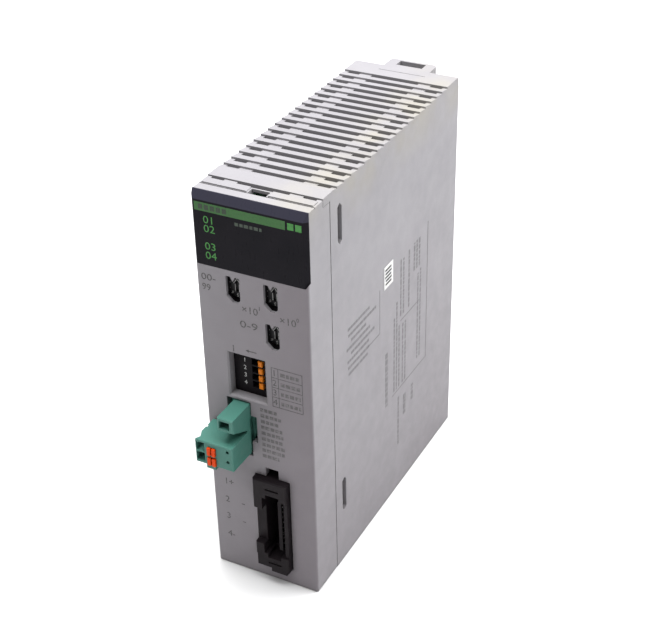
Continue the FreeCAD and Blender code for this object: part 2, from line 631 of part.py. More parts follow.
def main_board():
    x = (MAIN_BOARD_X, MAIN_BOARD_X + BOARD)
    board = block(x, MAIN_BOARD_D, (8.0, 124.0))
    cuts = [block((-10, 0), (66, 100), (0, 14.0))]
    for depth, z in MAIN_POSTS:
        cuts.append(cross_rod(depth, z, 1.3, (-10, 0)))
    return board.cut(cuts)


def on_board(d, z, height):
    """A block that lies on the right face of the main board."""
    return block((BOARD_FACE, BOARD_FACE + height), d, z)


def link_pin_heights():
    return [64.5 + 2.54 * index for index in range(8)]


def board_link_plug():
    body = block(LINK_X, (LINK_D[0], LINK_D[1]), LINK_Z)
    holes = [block(about(LINK_X[0] + 2.5, 0.64), (10, 16), about(z, 0.64)) for z in link_pin_heights()]
    return body.cut(holes)


def board_link_socket():
    body = block(LINK_X, (LINK_D[1], LINK_D[2]), LINK_Z)
    holes = [block(about(LINK_X[0] + 2.5, 0.9), (15, 20.5), about(z, 0.9)) for z in link_pin_heights()]
    return body.cut(holes)


def board_link_pins():
    pins = [block(about(LINK_X[0] + 2.5, 0.64), (10.7, 20.0), about(z, 0.64)) for z in link_pin_heights()]
    return Part.makeCompound(pins)


def backplane_connector():
    """Plug at the rear face: a slotted tongue inside a shroud that the backplane's socket goes over."""
    body = block(BACKPLANE_X, (91.0, 104.0), BACKPLANE_Z)
    rear = edges_where(body, lambda b: b.YMin > FRONT_Y + 103.9)
    body = body.makeChamfer(0.5, rear)
    room = block((-4.3, 3.1), (96.0, 105.0), (BACKPLANE_Z[0] + 1.4, BACKPLANE_Z[1] - 1.4))
    tongue = block((-1.9, 0.7), (95.5, 102.6), (BACKPLANE_Z[0] + 3.0, BACKPLANE_Z[1] - 3.0))
    body = joined([body.cut(room), tongue])
    cuts = []
    for z in backplane_heights():
        for x in ((-2.0, -1.6), (0.4, 0.8)):
            cuts.append(block(x, (90, 102.2), about(z, 0.8)))
    return body.cut(cuts)


def backplane_heights():
    return [BACKPLANE_Z[0] + 5.0 + 2.0 * index for index in range(22)]


def backplane_pins():
    pins = []
    for z in backplane_heights():
        for x in ((-1.98, -1.72), (0.52, 0.78)):
            pins.append(block(x, (89.4, 102.0), about(z, 0.6)))
    return Part.makeCompound(pins)


def capacitors():
    cans = []
    for depth in (30.0, 40.0, 50.0):
        can = cross_rod(depth, 24.0, 4.0, (BOARD_FACE, BOARD_FACE + 10.5))
        rim = edges_where(can, lambda b: b.XMin > BOARD_FACE + 10.4)
        cans.append(can.makeFillet(0.6, rim))
    return Part.makeCompound(cans)


def moulded_block(d, z, height, chamfer):
    """A moulded part on the main board with a chamfered outer rim."""
    body = on_board(d, z, height)
    rim = edges_where(body, lambda b: b.XMin > BOARD_FACE + height - 0.01)
    return body.makeChamfer(chamfer, rim)


def crystal():
    can = on_board((62.0, 66.6), (96.0, 107.0), 3.4)
    return can.makeFillet(1.4, edges_where(can, lambda b: b.XLength > 3))


# ---------------------------------------------------------------- fasteners and sticker

def mounting_screw():
    head = rod(0.0, MOUNT_SCREW_Z, 3.5, (92.6, 95.8))
    head = head.makeFillet(0.6, edges_where(head, lambda b: b.XLength > 5 and b.YMax < FRONT_Y + 92.7))
    washer = rod(0.0, MOUNT_SCREW_Z, 4.0, (95.8, 96.8))
    neck = rod(0.0, MOUNT_SCREW_Z, MOUNT_SCREW_NECK, (96.5, MOUNT_THREAD_D[0] + 0.2))
    thread = rod(0.0, MOUNT_SCREW_Z, MOUNT_SCREW_RADIUS, MOUNT_THREAD_D)
    tip = edges_where(thread, lambda b: b.YMin > FRONT_Y + MOUNT_THREAD_D[1] - 0.1)
    thread = thread.makeChamfer(0.5, tip)
    screw = joined([head, washer, neck, thread])
    cross = [block(about(0.0, 3.6), (90, 94.4), about(MOUNT_SCREW_Z, 0.8)),
             block(about(0.0, 0.8), (90, 94.4), about(MOUNT_SCREW_Z, 3.6))]
    return screw.cut(cross)


def front_board_screws():
    screws = []
    seat = FRONT_BOARD + BOARD
    for x, z in FRONT_POSTS:
        screw = joined([rod(x, z, 1.8, (seat, seat + 1.2)), rod(x, z, 0.8, (4.0, seat + 0.5))])
        screws.append(screw.cut(block(about(x, 2.4), (seat + 0.6, seat + 2), about(z, 0.5))))
    return Part.makeCompound(screws)


def main_board_screws():
    screws = []
    for depth, z in MAIN_POSTS:
        head = cross_rod(depth, z, 2.2, (BOARD_FACE, BOARD_FACE + 1.6))
        shank = cross_rod(depth, z, 1.0, (MAIN_BOARD_X - 6.0, BOARD_FACE + 0.5))
        slot = block((BOARD_FACE + 0.9, BOARD_FACE + 3), about(depth, 3.0), about(z, 0.5))
        screws.append(joined([head, shank]).cut(slot))
    return Part.makeCompound(screws)


def side_sticker():
    return block((HALF, HALF + 0.12), (46.4, 52.6), (82.2, 89.8))


# ---------------------------------------------------------------- write every piece

save("rear_case", rear_case())
save("front_cover", front_cover())
save("indicator_window", indicator_window())
save("light_guide", light_guide())
save("indicator_leds", indicator_leds())
save("front_board", front_board())
save("main_board", main_board())
for name, x, z in ROTARY:
    save(name + "_switch_body", rotary_body(x, z))
    save(name + "_dial", rotary_dial(x, z))
save("dip_switch_body", dip_body())
for index, z in enumerate(dip_heights()):
    save("dip_slider_" + str(index + 1), dip_slider(z))
save("power_header", power_header())
save("power_header_pins", power_header_pins())
save("power_plug_body", power_plug_body())
for index, z in enumerate(CONTACT_HEIGHTS):
    save("plug_lever_" + str(index + 1), plug_lever(z))
save("plug_screw", plug_screw())
save("plug_clamps", plug_clamps())
save("network_socket", network_socket())
save("network_contacts", network_contacts())
save("board_link_plug", board_link_plug())
save("board_link_socket", board_link_socket())
save("board_link_pins", board_link_pins())
save("backplane_connector", backplane_connector())
save("backplane_pins", backplane_pins())
save("processor_chip", moulded_block((42.0, 64.0), (52.0, 74.0), 1.6, 0.3))
save("network_chip", moulded_block((28.0, 42.0), (92.0, 106.0), 1.6, 0.3))
save("memory_chips", Part.makeCompound([on_board((70.0, 78.0), about(z, 12.0), 1.2) for z in (54.0, 70.0)]))
save("pulse_transformer", moulded_block((28.0, 42.0), (38.0, 50.0), 7.0, 0.5))
save("power_converter", moulded_block((60.0, 82.0), (24.0, 40.0), 9.0, 0.8))
save("capacitors", capacitors())
save("crystal", crystal())
save("mounting_screw", mounting_screw())
save("front_board_screws", front_board_screws())
save("main_board_screws", main_board_screws())
save("side_sticker", side_sticker())
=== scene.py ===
import math
import random
import bmesh
import bpy
from mathutils import Matrix, Vector


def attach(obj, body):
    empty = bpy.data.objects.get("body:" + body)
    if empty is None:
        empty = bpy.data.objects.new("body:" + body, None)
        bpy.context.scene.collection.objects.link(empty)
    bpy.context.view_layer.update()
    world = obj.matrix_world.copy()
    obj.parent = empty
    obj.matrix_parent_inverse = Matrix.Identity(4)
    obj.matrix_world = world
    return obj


# Looks of a one-slot network module: finishes, printed marks, light, floor and camera.
# Metres, in the CAD frame: +Z is up, the front face looks towards -Y, and +X is to the right as
# seen from the front.

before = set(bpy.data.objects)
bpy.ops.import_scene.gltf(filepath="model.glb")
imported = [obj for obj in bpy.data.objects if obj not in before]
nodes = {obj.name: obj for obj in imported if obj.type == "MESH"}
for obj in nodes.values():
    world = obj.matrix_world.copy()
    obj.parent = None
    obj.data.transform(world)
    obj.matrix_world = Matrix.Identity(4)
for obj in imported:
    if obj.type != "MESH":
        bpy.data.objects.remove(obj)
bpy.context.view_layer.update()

MM = 0.001
FRONT_Y = -50.5             # mm, plane of the front face
SIDE_X = 17.5               # mm, plane of the right side
PRINT_RISE = 0.03           # mm, how proud the ink stands
PRINT_SINK = 0.02           # mm, how deep the ink's back lies under the surface
PAINT = 0.80                # share of each colour that surfaces reflect; strong lights even it out
DIGIT_TALL = 0.69           # height of the built-in font's digits, for a font size of 1
DIAL_FACE = 2.35            # mm behind the front face, where the dials' printed faces lie
SWITCH_FACE = 3.1           # mm behind the front face, where the sliding switches' face lies
STICKER_OUT = 0.095         # mm proud of the right side, the sticker's face


def srgb(red, green, blue):
    """A surface colour from screen values, 0 to 255, in linear light."""
    def linear(value):
        share = value / 255
        return share / 12.92 if share <= 0.04045 else ((share + 0.055) / 1.055) ** 2.4
    return (linear(red) * PAINT, linear(green) * PAINT, linear(blue) * PAINT, 1.0)


def times(colour, factor):
    return (colour[0] * factor, colour[1] * factor, colour[2] * factor, 1.0)


# ---------------------------------------------------------------- materials

class Finish:
    """A procedural material. Its methods add nodes and return the output socket to go on from."""

    def __init__(self, name, **surface):
        self.material = bpy.data.materials.new(name)
        self.material.use_nodes = True
        self.tree = self.material.node_tree
        self.surface = self.tree.nodes["Principled BSDF"]
        for key, value in surface.items():
            self.surface.inputs[key.replace("_", " ")].default_value = value
        coordinates = self.tree.nodes.new("ShaderNodeTexCoord")
        self.place = coordinates.outputs["Object"]

    def add(self, kind, properties=None, values=None, links=None):
        node = self.tree.nodes.new(kind)
        for key, value in (properties or {}).items():
            setattr(node, key, value)
        for key, value in (values or {}).items():
            node.inputs[key].default_value = value
        for key, socket in (links or {}).items():
            self.tree.links.new(socket, node.inputs[key])
        return node

    def noise(self, size_mm, detail=2.0, roughness=0.5, stretch=None):
        """Soft noise whose blobs are about size_mm across, from 0 to 1."""
        place = self.place
        if stretch:
            links = {"Vector": place}
            place = self.add("ShaderNodeMapping", values={"Scale": stretch}, links=links).outputs[0]
        values = {"Scale": 1.0 / (size_mm * MM), "Detail": detail, "Roughness": roughness}
        return self.add("ShaderNodeTexNoise", values=values, links={"Vector": place}).outputs[0]

    def cells(self, size_mm):
        """Distance to the nearest of scattered points about size_mm apart."""
        values = {"Scale": 1.0 / (size_mm * MM)}
        node = self.add("ShaderNodeTexVoronoi", values=values, links={"Vector": self.place})
        return node.outputs["Distance"]

    def spread(self, socket, source, target):
        """Maps the range source to the range target, held at its ends."""
        values = {"From Min": source[0], "From Max": source[1],
                  "To Min": target[0], "To Max": target[1]}
        return self.add("ShaderNodeMapRange", values=values, links={"Value": socket}).outputs[0]

    def product(self, first, second):
        node = self.add("ShaderNodeMath", {"operation": "MULTIPLY"}, links={0: first, 1: second})
        return node.outputs[0]

    def axis(self, name):
        node = self.add("ShaderNodeSeparateXYZ", links={0: self.place})
        return node.outputs[name]

    def tint(self, mask, under, over):
        """Colour that goes from under to over where mask is 1. Each is a colour or a socket."""
        node = self.add("ShaderNodeMix", {"data_type": "RGBA"}, links={0: mask})
        for index, colour in ((6, under), (7, over)):
            if isinstance(colour, tuple):
                node.inputs[index].default_value = colour
            else:
                self.tree.links.new(colour, node.inputs[index])
        return node.outputs[2]

    def crevice(self, reach_mm):
        """1 in narrow corners and holes, 0 on open faces; the materials paint shade with it."""
        values = {"Distance": reach_mm * MM}
        node = self.add("ShaderNodeAmbientOcclusion", {"samples": 4}, values)
        return self.spread(node.outputs["AO"], (0.25, 0.9), (1.0, 0.0))

    def edge(self, radius_mm):
        """Mask of outer and inner edges: 1 where the rounded normal leaves the face's own. The
        materials paint wear with a highlight with it.
        """
        values = {"Radius": radius_mm * MM}
        bevel = self.add("ShaderNodeBevel", {"samples": 4}, values).outputs[0]
        true = self.add("ShaderNodeNewGeometry").outputs["True Normal"]
        links = {0: bevel, 1: true}
        dot = self.add("ShaderNodeVectorMath", {"operation": "DOT_PRODUCT"}, links=links)
        return self.spread(dot.outputs["Value"], (0.995, 0.86), (0.0, 1.0))

    def bump(self, layers, radius_mm=0.0):
        """Stacks bump layers (height socket, depth in mm) on a softly rounded edge."""
        normal = None
        if radius_mm:
            values = {"Radius": radius_mm * MM}
            normal = self.add("ShaderNodeBevel", {"samples": 6}, values=values).outputs[0]
        for height, depth_mm in layers:
            links = {"Height": height}
            if normal:
                links["Normal"] = normal
            values = {"Distance": depth_mm * MM}
            normal = self.add("ShaderNodeBump", values=values, links=links).outputs[0]
        self.tree.links.new(normal, self.surface.inputs["Normal"])

    def colour(self, socket):
        self.tree.links.new(socket, self.surface.inputs["Base Color"])

    def roughness(self, socket):
        self.tree.links.new(socket, self.surface.inputs["Roughness"])


def moulded(name, colour, grain_mm, grain_depth, rough, patch=0.94, worn=None, round_mm=0.15,
            **surface):
    """Moulded plastic: eroded grain, faint clouding, dust with painted shade in the corners, and
    rubbed edges with a painted highlight.
    """
    f = Finish(name, **surface)
    clouds = f.spread(f.noise(14.0, 3.0), (0.35, 0.65), (0.0, 1.0))
    base = f.tint(clouds, colour, times(colour, patch))
    specks = f.spread(f.noise(0.45, 2.0), (0.60, 0.72), (0.0, 0.35))
    base = f.tint(specks, base, times(colour, 0.86))
    # Dust and painted shade: darker in corners and holes.
    dust = f.product(f.crevice(1.2), f.spread(f.noise(2.2, 3.0), (0.3, 0.7), (0.25, 0.8)))
    base = f.tint(dust, base, times(colour, 0.62))
    # Rubbed edges with a painted highlight: the worn colour lightens the edges.
    if worn:
        rubbed_edge_and_highlight = f.product(f.edge(0.18), f.spread(f.noise(1.7, 3.0), (0.40, 0.65), (0.0, 0.8)))
        base = f.tint(rubbed_edge_and_highlight, base, worn)
    f.colour(base)
    f.roughness(f.spread(f.noise(3.5, 3.0), (0.3, 0.7), rough))
    f.bump([(f.noise(grain_mm, 2.0, 0.6), grain_depth), (f.noise(9.0, 1.0), 0.02)], round_mm)
    return f.material


def case_plastic():
    """Pale grey housing plastic with scuffs and small dark specks. It is a little yellowed at the
    top right. Painted shade darkens the front face, more so towards the right, and the lower part;
    dust with painted shade darkens the corners, and the edges carry wear with a painted highlight."""
    colour = srgb(146, 144, 148)
    f = Finish("housing_grey_plastic", Specular_IOR_Level=0.35)
    clouds = f.spread(f.noise(22.0, 3.0), (0.35, 0.65), (0.0, 1.0))
    base = f.tint(clouds, colour, srgb(141, 139, 143))
    high = f.spread(f.axis("Z"), (0.116, 0.130), (0.0, 1.0))
    right = f.spread(f.axis("X"), (-0.002, 0.012), (0.0, 1.0))
    patches = f.spread(f.noise(16.0, 2.0), (0.42, 0.62), (0.15, 0.75))
    aged = f.product(f.product(high, right), patches)
    base = f.tint(aged, base, srgb(152, 148, 138))
    # Painted shade: the housing is darker towards the bottom, unevenly.
    low = f.spread(f.axis("Z"), (0.0, 0.105), (1.0, 0.0))
    uneven = f.spread(f.noise(30.0), (0.3, 0.7), (0.75, 1.0))
    painted_low_shade = f.product(low, uneven)
    base = f.tint(painted_low_shade, base, srgb(131, 127, 131))
    # Painted shade: the front face is darker, and more so towards the right.
    front = f.spread(f.axis("Y"), (-0.0500, -0.0504), (0.0, 1.0))
    rightward_shade = f.spread(f.axis("X"), (-0.0175, 0.0175), (0.3, 1.0))
    front = f.product(front, rightward_shade)
    base = f.tint(front, base, srgb(125, 119, 124))
    specks = f.spread(f.noise(0.5, 2.0), (0.66, 0.74), (0.0, 0.4))
    base = f.tint(specks, base, srgb(120, 117, 115))
    scuffs = f.spread(f.noise(2.6, 6.0, 0.75, (1.0, 0.35, 1.0)), (0.64, 0.70), (0.0, 0.30))
    base = f.tint(scuffs, base, srgb(130, 127, 126))
    # Dust and painted shade: darker in corners, holes and slits, less so in the roof.
    dust = f.product(f.crevice(1.6), f.spread(f.noise(2.0, 3.0), (0.3, 0.7), (0.35, 0.9)))
    below_roof = f.spread(f.axis("Z"), (0.112, 0.120), (1.0, 0.2))
    dust = f.product(dust, below_roof)
    base = f.tint(dust, base, srgb(96, 93, 88))
    # Rubbed edges with a painted highlight: the edges are lighter.
    rubbed_edge_and_highlight = f.product(f.edge(0.22), f.spread(f.noise(1.5, 3.0), (0.42, 0.62), (0.0, 0.7)))
    base = f.tint(rubbed_edge_and_highlight, base, srgb(166, 165, 166))
    f.colour(base)
    f.roughness(f.spread(f.noise(4.0, 3.0), (0.3, 0.7), (0.52, 0.68)))
    f.bump([(f.noise(0.35, 2.0, 0.6), 0.018), (f.noise(12.0, 1.0), 0.03)], 0.18)
    return f.material


def window_plastic():
    """Tinted glossy window with fine wiping scratches and dust, and a painted sheen on the bevel
    strip at the top.
    """
    f = Finish("window_tinted_plastic", IOR=1.3, Specular_IOR_Level=0.12)
    clouds = f.spread(f.noise(10.0, 2.0), (0.35, 0.65), (0.0, 1.0))
    base = f.tint(clouds, srgb(23, 22, 27), srgb(28, 26, 31))
    # Painted sheen: the bevel strip along the top is painted lighter and bluer.
    painted_sheen_strip = f.spread(f.axis("Z"), (0.12705, 0.12715), (0.0, 1.0))
    painted_sheen_colour = f.tint(f.noise(16.0), srgb(56, 57, 72), srgb(60, 58, 67))
    base = f.tint(painted_sheen_strip, base, painted_sheen_colour)
    dust = f.spread(f.noise(0.35, 1.0), (0.72, 0.78), (0.0, 0.3))
    base = f.tint(dust, base, srgb(60, 58, 58))
    f.colour(base)
    scratches = f.noise(0.9, 4.0, 0.6, (1.0, 1.0, 0.25))
    f.roughness(f.spread(scratches, (0.35, 0.7), (0.27, 0.32)))
    f.bump([(scratches, 0.0003)], 0.15)
    return f.material


def clear_plastic():
    """Clear moulded light guide, faintly cloudy."""
    f = Finish("light_guide_clear_plastic", IOR=1.49, Transmission_Weight=0.85)
    f.colour(f.tint(f.noise(5.0), srgb(226, 230, 232), srgb(212, 218, 222)))
    f.roughness(f.spread(f.noise(1.5, 3.0), (0.3, 0.7), (0.08, 0.22)))
    f.bump([(f.noise(1.2), 0.01)])
    return f.material


def metal(name, colour, dull, rough, grain_mm=0.25, stretch=(1.0, 1.0, 0.15)):
    """Plated metal with drawn lines and dull patches, and painted shade in its corners and holes.
    """
    f = Finish(name, Metallic=1.0)
    lines = f.noise(grain_mm, 4.0, 0.6, stretch)
    patches = f.spread(f.noise(1.6, 3.0), (0.35, 0.7), (0.0, 0.8))
    base = f.tint(patches, colour, dull)
    # Painted shade: darker in corners and holes.
    base = f.tint(f.product(f.crevice(0.5), f.noise(0.8)), base, times(dull, 0.35))
    f.colour(base)
    f.roughness(f.spread(lines, (0.3, 0.7), rough))
    f.bump([(lines, 0.006)], 0.06)
    return f.material


def circuit_board():
    """Green lacquer over copper lines and pads."""
    f = Finish("circuit_board_lacquer")
    values = {"Scale": 420.0, "Mortar Size": 0.09, "Mortar Smooth": 0.2,
              "Brick Width": 2.4, "Row Height": 0.5}
    grid = f.add("ShaderNodeTexBrick", values=values, links={"Vector": f.place})
    lines = f.product(grid.outputs["Fac"], f.spread(f.noise(7.0), (0.45, 0.55), (0.2, 1.0)))
    base = f.tint(lines, srgb(18, 70, 44), srgb(44, 116, 70))
    pads = f.spread(f.cells(5.1), (0.10, 0.14), (1.0, 0.0))
    base = f.tint(pads, base, srgb(186, 178, 150))
    f.colour(base)
    f.roughness(f.spread(f.noise(3.0, 3.0), (0.3, 0.7), (0.22, 0.4)))
    f.bump([(grid.outputs["Fac"], 0.02), (f.noise(0.4), 0.004)])
    return f.material


def paper_label():
    """White label paper with fine fibres."""
    f = Finish("sticker_paper")
    fibres = f.noise(0.3, 4.0, 0.7, (1.0, 1.0, 0.5))
    streaks = f.spread(fibres, (0.4, 0.7), (0.0, 1.0))
    base = f.tint(streaks, srgb(216, 216, 216), srgb(203, 202, 199))
    f.colour(base)
    f.roughness(f.spread(f.noise(2.0), (0.3, 0.7), (0.35, 0.5)))
    f.bump([(fibres, 0.004)])
    return f.material


def lamp_white():
    """Milky indicator chip, unlit."""
    f = Finish("indicator_chip")
    clouds = f.spread(f.noise(0.6), (0.4, 0.6), (0.0, 1.0))
    f.colour(f.tint(clouds, srgb(226, 222, 202), srgb(204, 198, 170)))
    f.roughness(f.spread(f.noise(0.4), (0.3, 0.7), (0.3, 0.45)))
    f.bump([(f.noise(0.3), 0.01)])
    return f.material


def ink(name, colour, thin, cover=1.0, **surface):
    """Pad-printed ink: slightly uneven density, paler where it has rubbed off."""
    f = Finish(name, **surface)
    worn = f.spread(f.noise(0.9, 4.0, 0.7), (0.50, 0.72), (0.0, cover))
    f.colour(f.tint(worn, colour, thin))
    f.roughness(f.spread(f.noise(0.5), (0.3, 0.7), (0.45, 0.62)))
    f.bump([(f.noise(0.2), 0.004)])
    return f.material


# The worn colours are lighter than the base: rubbed edges with a painted highlight.
FINISHES = {
    "case_plastic": case_plastic(),
    "window_plastic": window_plastic(),
    "clear_plastic": clear_plastic(),
    "led_white": lamp_white(),
    "circuit_board": circuit_board(),
    "green_plastic": moulded("plug_teal_plastic", srgb(74, 126, 114), 0.3, 0.012, (0.4, 0.54),
                             patch=0.9, worn=srgb(116, 166, 154), round_mm=0.14,
                             Specular_IOR_Level=0.2),
    "tinned_metal": metal("pin_tinned_metal", srgb(206, 206, 202), srgb(164, 164, 160),
                          (0.22, 0.4)),
    "spring_steel": metal("clamp_spring_steel", srgb(176, 174, 170), srgb(120, 118, 114),
                          (0.25, 0.45)),
    "orange_plastic": moulded("lever_orange_plastic", srgb(230, 70, 2), 0.25, 0.01, (0.42, 0.56),
                              patch=0.9, worn=srgb(230, 96, 36), round_mm=0.1,
                              Specular_IOR_Level=0.12),
    "zinc_steel": metal("screw_zinc_steel", srgb(196, 198, 200), srgb(140, 142, 146),
                        (0.24, 0.42)),
    "black_plastic": moulded("connector_black_plastic", srgb(33, 28, 31), 0.25, 0.015,
                             (0.38, 0.52), patch=0.8, worn=srgb(44, 41, 43), round_mm=0.12,
                             Specular_IOR_Level=0.08),
    "gold_contact": metal("contact_gold", srgb(224, 184, 104), srgb(190, 150, 84), (0.18, 0.34)),
    "switch_black": moulded("switch_body_black", srgb(28, 25, 28), 0.25, 0.012, (0.42, 0.56),
                            patch=0.85, worn=srgb(34, 32, 34), round_mm=0.1,
                            Specular_IOR_Level=0.06),
    "dial_black": moulded("dial_black_plastic", srgb(26, 25, 27), 0.25, 0.01, (0.34, 0.5),
                          patch=0.85, worn=srgb(88, 87, 88), round_mm=0.1),
    "slider_orange": moulded("slider_orange_plastic", srgb(232, 128, 8), 0.2, 0.01, (0.4, 0.54),
                             patch=0.88, worn=srgb(236, 150, 50), round_mm=0.1,
                             Specular_IOR_Level=0.2),
    "chip_black": moulded("chip_package_black", srgb(40, 40, 42), 0.12, 0.012, (0.5, 0.66),
                          worn=srgb(74, 74, 76), round_mm=0.08),
    "can_metal": metal("can_aluminium", srgb(200, 202, 206), srgb(150, 152, 156), (0.25, 0.42)),
    "sticker_white": paper_label(),
}
for node in nodes.values():
    slot = node.data.materials[0].name
    node.data.materials[0] = FINISHES[slot]

INK_GREY = ink("front_ink_grey", srgb(66, 64, 64), srgb(112, 110, 110))
INK_SIDE = ink("side_ink_pale_grey", srgb(90, 88, 91), srgb(124, 122, 126))
INK_LINE = ink("side_line_ink_grey", srgb(82, 80, 82), srgb(118, 116, 119))
INK_SMALL = ink("small_print_ink_grey", srgb(84, 81, 82), srgb(126, 123, 125))
INK_GREEN = ink("window_ink_green", srgb(50, 132, 46), srgb(36, 88, 34))
INK_BAND_MARKS = ink("band_ink_dark_green", srgb(22, 48, 22), srgb(40, 70, 38))
INK_BAND = ink("window_band_green", srgb(32, 95, 26), srgb(28, 81, 24))
INK_FAINT = ink("window_ink_dim_green", srgb(44, 60, 45), srgb(32, 40, 34))
INK_WHITE = ink("switch_ink_white", srgb(190, 190, 188), srgb(110, 110, 110))
INK_BLACK = ink("sticker_ink_black", srgb(8, 8, 9), srgb(18, 18, 18))


# ---------------------------------------------------------------- printed marks

def numeral_shape(text):
    """Numerals or signs as a flat mesh. A digit is one unit tall; the baseline starts at 0, 0."""
    curve = bpy.data.curves.new("numerals", "FONT")
    curve.body = text
    curve.extrude = 0.5
    curve.resolution_u = 3
    holder = bpy.data.objects.new("numerals", curve)
    bpy.context.scene.collection.objects.link(holder)
    bpy.context.view_layer.update()
    evaluated = holder.evaluated_get(bpy.context.evaluated_depsgraph_get())
    mesh = bpy.data.meshes.new_from_object(evaluated)
    work = bmesh.new()
    work.from_mesh(mesh)
    bmesh.ops.remove_doubles(work, verts=work.verts, dist=1e-5)
    points = [v.co.copy() for v in work.verts]
    faces = [[v.index for v in face.verts] for face in work.faces]
    work.free()
    bpy.data.meshes.remove(mesh)
    bpy.data.objects.remove(holder)
    bpy.data.curves.remove(curve)
    return [Vector((p.x / DIGIT_TALL, p.y / DIGIT_TALL, p.z)) for p in points], faces


class Print:
    """Flat printed marks on one face, in one mesh. u runs to the reader's right and v up, in mm."""

    def __init__(self, origin, across, up, out):
        self.origin = Vector(origin)
        self.across = Vector(across)
        self.up = Vector(up)
        self.out = Vector(out)
        self.points = []
        self.faces = []

    def place(self, u, v, high):
        lift = PRINT_RISE if high else -PRINT_SINK
        return (self.origin + self.across * u + self.up * v + self.out * lift) * MM

    def outline(self, corners):
        """A convex patch over corners that run anticlockwise."""
        first = len(self.points)
        count = len(corners)
        for high in (False, True):
            for u, v in corners:
                self.points.append(self.place(u, v, high))
        self.faces.append([first + count + i for i in range(count)])
        self.faces.append([first + i for i in reversed(range(count))])
        for i in range(count):
            j = (i + 1) % count
            self.faces.append([first + i, first + j, first + count + j, first + count + i])

    def bar(self, u, v):
        self.outline([(u[0], v[0]), (u[1], v[0]), (u[1], v[1]), (u[0], v[1])])

    def line(self, start, end, width):
        along = Vector((end[0] - start[0], end[1] - start[1])).normalized()
        side = Vector((-along.y, along.x)) * width / 2
        a, b = Vector(start), Vector(end)
        self.outline([tuple(p) for p in (a - side, b - side, b + side, a + side)])

    def frame(self, u, v, width):
        self.bar(u, (v[0], v[0] + width))
        self.bar(u, (v[1] - width, v[1]))
        self.bar((u[0], u[0] + width), (v[0] + width, v[1] - width))
        self.bar((u[1] - width, u[1]), (v[0] + width, v[1] - width))

    def numerals(self, text, u, v, height, turn=0.0, width=1.0):
        """Numerals with the left end of their baseline at u, v, turned by turn degrees."""
        points, faces = numeral_shape(text)
        cos, sin = math.cos(math.radians(turn)), math.sin(math.radians(turn))
        first = len(self.points)
        for p in points:
            x, y = p.x * height * width, p.y * height
            self.points.append(self.place(u + x * cos - y * sin, v + x * sin + y * cos, p.z > 0))
        self.faces += [[first + i for i in face] for face in faces]

    def words(self, rng, u, v, height, longest=2.6, gap=0.5):
        """A row of plain bars over the span u, which stands for a line of small print."""
        at = u[0]
        while at < u[1] - 0.4:
            end = min(at + rng.uniform(0.9, longest), u[1])
            self.bar((at, end), (v, v + height))
            at = end + gap

    def column(self, rng, v, u, width):
        """A line of small print turned upright, as bars stacked over the span v."""
        at = v[0]
        while at < v[1] - 0.4:
            end = min(at + rng.uniform(0.6, 2.2), v[1])
            self.bar((u - width / 2, u + width / 2), (at, end))
            at = end + rng.uniform(0.3, 0.5)

    def piece(self, name, finish, body):
        mesh = bpy.data.meshes.new(name)
        mesh.from_pydata([tuple(p) for p in self.points], [], self.faces)
        work = bmesh.new()
        work.from_mesh(mesh)
        bmesh.ops.recalc_face_normals(work, faces=work.faces)
        work.to_mesh(mesh)
        work.free()
        mesh.materials.append(finish)
        made = bpy.data.objects.new(name, mesh)
        bpy.context.scene.collection.objects.link(made)
        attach(made, body)
        return made


def on_front(depth=0.0):
    """Marks on a face that looks forward, depth mm behind the front face."""
    return Print((0, FRONT_Y + depth, 0), (1, 0, 0), (0, 0, 1), (0, -1, 0))


def on_right(out=0.0):
    """Marks on the right side or out mm proud of it. u is the depth behind the front face."""
    return Print((SIDE_X + out, FRONT_Y, 0), (0, 1, 0), (0, 0, 1), (1, 0, 0))


HOUSING = "housing"
rng = random.Random(7)

band = on_front()
band.bar((-16.55, 11.1), (123.95, 126.5))
band.piece("window_band", INK_BAND, HOUSING)

band_marks = on_front(-PRINT_RISE)
for index in range(5):
    left = -15.3 + 1.85 * index
    band_marks.bar((left, left + 1.35), (124.5, 126.0))
band_marks.piece("window_band_marks", INK_BAND_MARKS, HOUSING)

labels = on_front()
labels.bar((11.75, 13.6), (124.2, 126.2))
labels.bar((14.1, 15.95), (124.2, 126.2))
for text, base in (("01", 120.45), ("02", 117.75), ("03", 112.4), ("04", 109.55)):
    labels.numerals(text, -14.1, base, 2.2, width=1.15)
labels.piece("window_labels", INK_GREEN, HOUSING)

faint = on_front()
faint.words(rng, (-4.2, 4.0), 121.7, 1.0, 1.6, 0.35)
faint.piece("window_faint_marks", INK_FAINT, HOUSING)

small = on_front()
marks = on_front()
marks.numerals("00-", -16.1, 102.65, 2.0, width=1.25)
marks.numerals("99", -16.0, 99.4, 2.0)
marks.numerals("×10", -3.75, 95.1, 2.2, width=1.05)
marks.numerals("1", 1.6, 97.0, 1.2)
marks.numerals("×10", 8.1, 94.6, 2.2, width=1.05)
marks.numerals("0", 13.4, 96.4, 1.2)
marks.numerals("0-9", -4.6, 90.1, 2.2, width=1.4)
marks.numerals("1", -7.9, 81.2, 2.1)
marks.line((-2.4, 82.6), (0.3, 82.6), 0.3)
marks.outline([(-3.2, 82.6), (-2.2, 82.1), (-2.2, 83.1)])
marks.frame((4.7, 14.6), (65.9, 79.3), 0.2)
for row in range(4):
    low = 65.9 + 3.3 * row
    if row:
        marks.bar((4.9, 14.4), (low, low + 0.2))
    marks.numerals(str(4 - row), 4.95, low + 0.75, 2.0)
    small.words(rng, (7.6, 13.9), low + 1.0, 1.2, 1.5, 0.35)
marks.bar((6.8, 7.0), (66.1, 79.1))
for row in range(9):
    low = 62.9 - 2.05 * row
    small.words(rng, (0.5, rng.uniform(5.8, 9.4)), low, 1.15, 1.5, 0.3)
small.piece("front_small_print", INK_SMALL, HOUSING)
